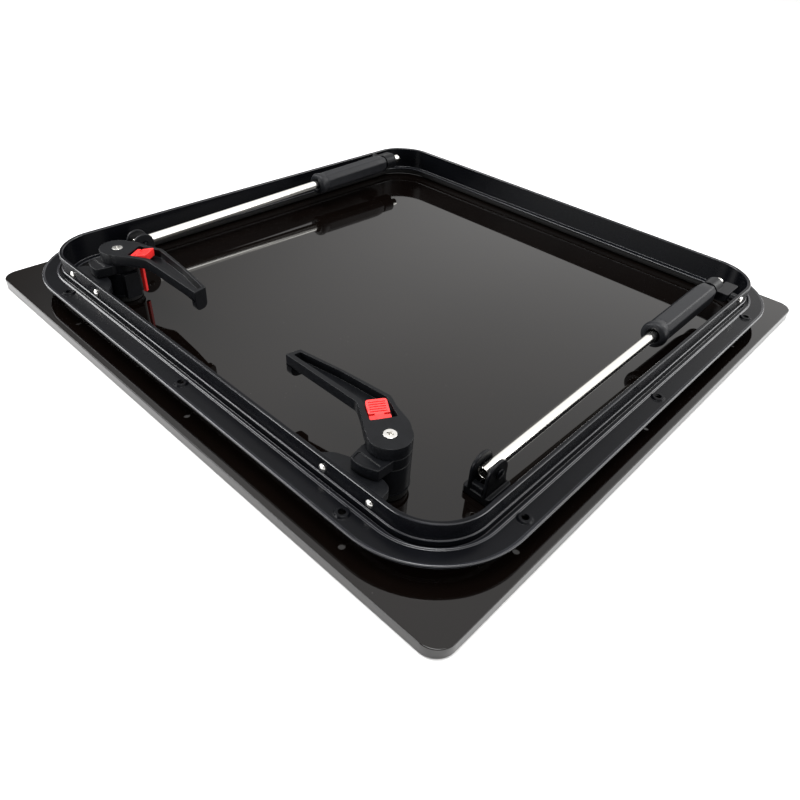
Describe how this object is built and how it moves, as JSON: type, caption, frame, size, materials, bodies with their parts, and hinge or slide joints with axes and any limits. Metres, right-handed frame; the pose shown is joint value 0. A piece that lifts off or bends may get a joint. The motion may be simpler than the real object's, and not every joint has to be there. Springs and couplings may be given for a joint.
{
  "type": "deck hatch",
  "caption": "Square boat deck hatch upside down on its smoked lid: black flanged frame, keepers, lever handles with red lock buttons and telescopic tube stays.",
  "frame": {"origin": "middle of the lid's outer face, which the hatch lies on", "axes": "+X along the wall with the keepers, parallel to the hinge line; +Y from the handles to the hinges; +Z from the lid into the boat"},
  "size_m": [0.6, 0.603, 0.064],
  "materials": {
    "acrylic": "clear polished smoked acrylic, almost black",
    "anodised": "satin black anodised",
    "black_plastic": "fine-textured black moulding",
    "red_plastic": "satin red moulding",
    "steel": "bright stainless",
    "polished_tube": "mirror-polished stainless",
    "rubber": "matte black rubber"
  },
  "bodies": {
    "lid": {"lid_panel": "acrylic", "handle_right_base": "black_plastic", "handle_right_gasket": "rubber", "handle_right_base_screw_1": "steel", "handle_right_base_screw_2": "steel", "stay_right_bracket": "black_plastic", "stay_right_pin": "anodised", "stay_right_bracket_screw_1": "steel", "stay_right_bracket_screw_2": "steel", "hinge_right_lid_leaf": "anodised", "hinge_right_lid_screw_1": "steel", "hinge_right_lid_screw_2": "steel", "handle_left_base": "black_plastic", "handle_left_gasket": "rubber", "handle_left_base_screw_1": "steel", "handle_left_base_screw_2": "steel", "stay_left_bracket": "black_plastic", "stay_left_pin": "anodised", "stay_left_bracket_screw_1": "steel", "stay_left_bracket_screw_2": "steel", "hinge_left_lid_leaf": "anodised", "hinge_left_lid_screw_1": "steel", "hinge_left_lid_screw_2": "steel"},
    "frame": {"frame": "anodised", "frame_seal": "rubber", "keeper_right": "black_plastic", "keeper_right_rivet_1": "steel", "keeper_right_rivet_2": "steel", "hinge_right_frame_leaf": "anodised", "hinge_right_pin": "steel", "hinge_right_frame_screw_1": "steel", "hinge_right_frame_screw_2": "steel", "stay_right_frame_bolt": "steel", "keeper_left": "black_plastic", "keeper_left_rivet_1": "steel", "keeper_left_rivet_2": "steel", "hinge_left_frame_leaf": "anodised", "hinge_left_pin": "steel", "hinge_left_frame_screw_1": "steel", "hinge_left_frame_screw_2": "steel", "stay_left_frame_bolt": "steel"},
    "handle_right": {"handle_right_spindle": "steel", "handle_right_tongue": "black_plastic", "handle_right_lever": "black_plastic", "handle_right_lever_screw": "steel", "handle_right_lock_spring": "steel"},
    "lock_right": {"handle_right_lock_button": "red_plastic"},
    "stay_right_tube": {"stay_right_tube": "polished_tube"},
    "stay_right_block": {"stay_right_block": "black_plastic"},
    "stay_right_grip": {"stay_right_grip": "black_plastic"},
    "handle_left": {"handle_left_spindle": "steel", "handle_left_tongue": "black_plastic", "handle_left_lever": "black_plastic", "handle_left_lever_screw": "steel", "handle_left_lock_spring": "steel"},
    "lock_left": {"handle_left_lock_button": "red_plastic"},
    "stay_left_tube": {"stay_left_tube": "polished_tube"},
    "stay_left_block": {"stay_left_block": "black_plastic"},
    "stay_left_grip": {"stay_left_grip": "black_plastic"}
  },
  "joints": [
    {"name": "frame_hinge", "type": "hinge", "parent": "lid", "child": "frame", "pos_m": [0, 0.285, 0.019], "axis": [-1, 0, 0], "range_deg": [0, 80]},
    {"name": "handle_right_turn", "type": "hinge", "parent": "lid", "child": "handle_right", "pos_m": [0.183, -0.225, 0.05], "axis": [0, 0, -1], "range_deg": [0, 90]},
    {"name": "lock_right_press", "type": "slide", "parent": "handle_right", "child": "lock_right", "axis": [0, 0, -1], "range_m": [0, 0.0025], "stiffness_N_per_m": 400, "deforming": ["handle_right_lock_spring"]},
    {"name": "stay_right_tilt", "type": "hinge", "parent": "lid", "child": "stay_right_tube", "pos_m": [0.2355, -0.175, 0.0335], "axis": [1, 0, 0], "range_deg": [0, 7.5]},
    {"name": "stay_right_slide", "type": "slide", "parent": "stay_right_tube", "child": "stay_right_block", "axis": [0, 0.9998, 0.0212], "range_m": [0, 0.0965]},
    {"name": "stay_right_twist", "type": "hinge", "parent": "stay_right_block", "child": "stay_right_grip", "pos_m": [0.2355, 0.202, 0.0415], "axis": [0, 0.9998, 0.0212], "range_deg": [0, 60]},
    {"name": "handle_left_turn", "type": "hinge", "parent": "lid", "child": "handle_left", "pos_m": [-0.183, -0.225, 0.05], "axis": [0, 0, 1], "range_deg": [0, 90]},
    {"name": "lock_left_press", "type": "slide", "parent": "handle_left", "child": "lock_left", "axis": [0, 0, -1], "range_m": [0, 0.0025], "stiffness_N_per_m": 400, "deforming": ["handle_left_lock_spring"]},
    {"name": "stay_left_tilt", "type": "hinge", "parent": "lid", "child": "stay_left_tube", "pos_m": [-0.2355, -0.175, 0.0335], "axis": [1, 0, 0], "range_deg": [0, 7.5]},
    {"name": "stay_left_slide", "type": "slide", "parent": "stay_left_tube", "child": "stay_left_block", "axis": [0, 0.9998, 0.0212], "range_m": [0, 0.0965]},
    {"name": "stay_left_twist", "type": "hinge", "parent": "stay_left_block", "child": "stay_left_grip", "pos_m": [-0.2355, 0.202, 0.0415], "axis": [0, 0.9998, 0.0212], "range_deg": [0, 60]}
  ],
  "couplings": [
    {"joint": "stay_right_tilt", "follows": "frame_hinge", "ratio": 0.092913},
    {"joint": "stay_right_slide", "follows": "frame_hinge", "m_per_rad": 0.068784},
    {"joint": "stay_left_tilt", "follows": "frame_hinge", "ratio": 0.092913},
    {"joint": "stay_left_slide", "follows": "frame_hinge", "m_per_rad": 0.068784}
  ]
}
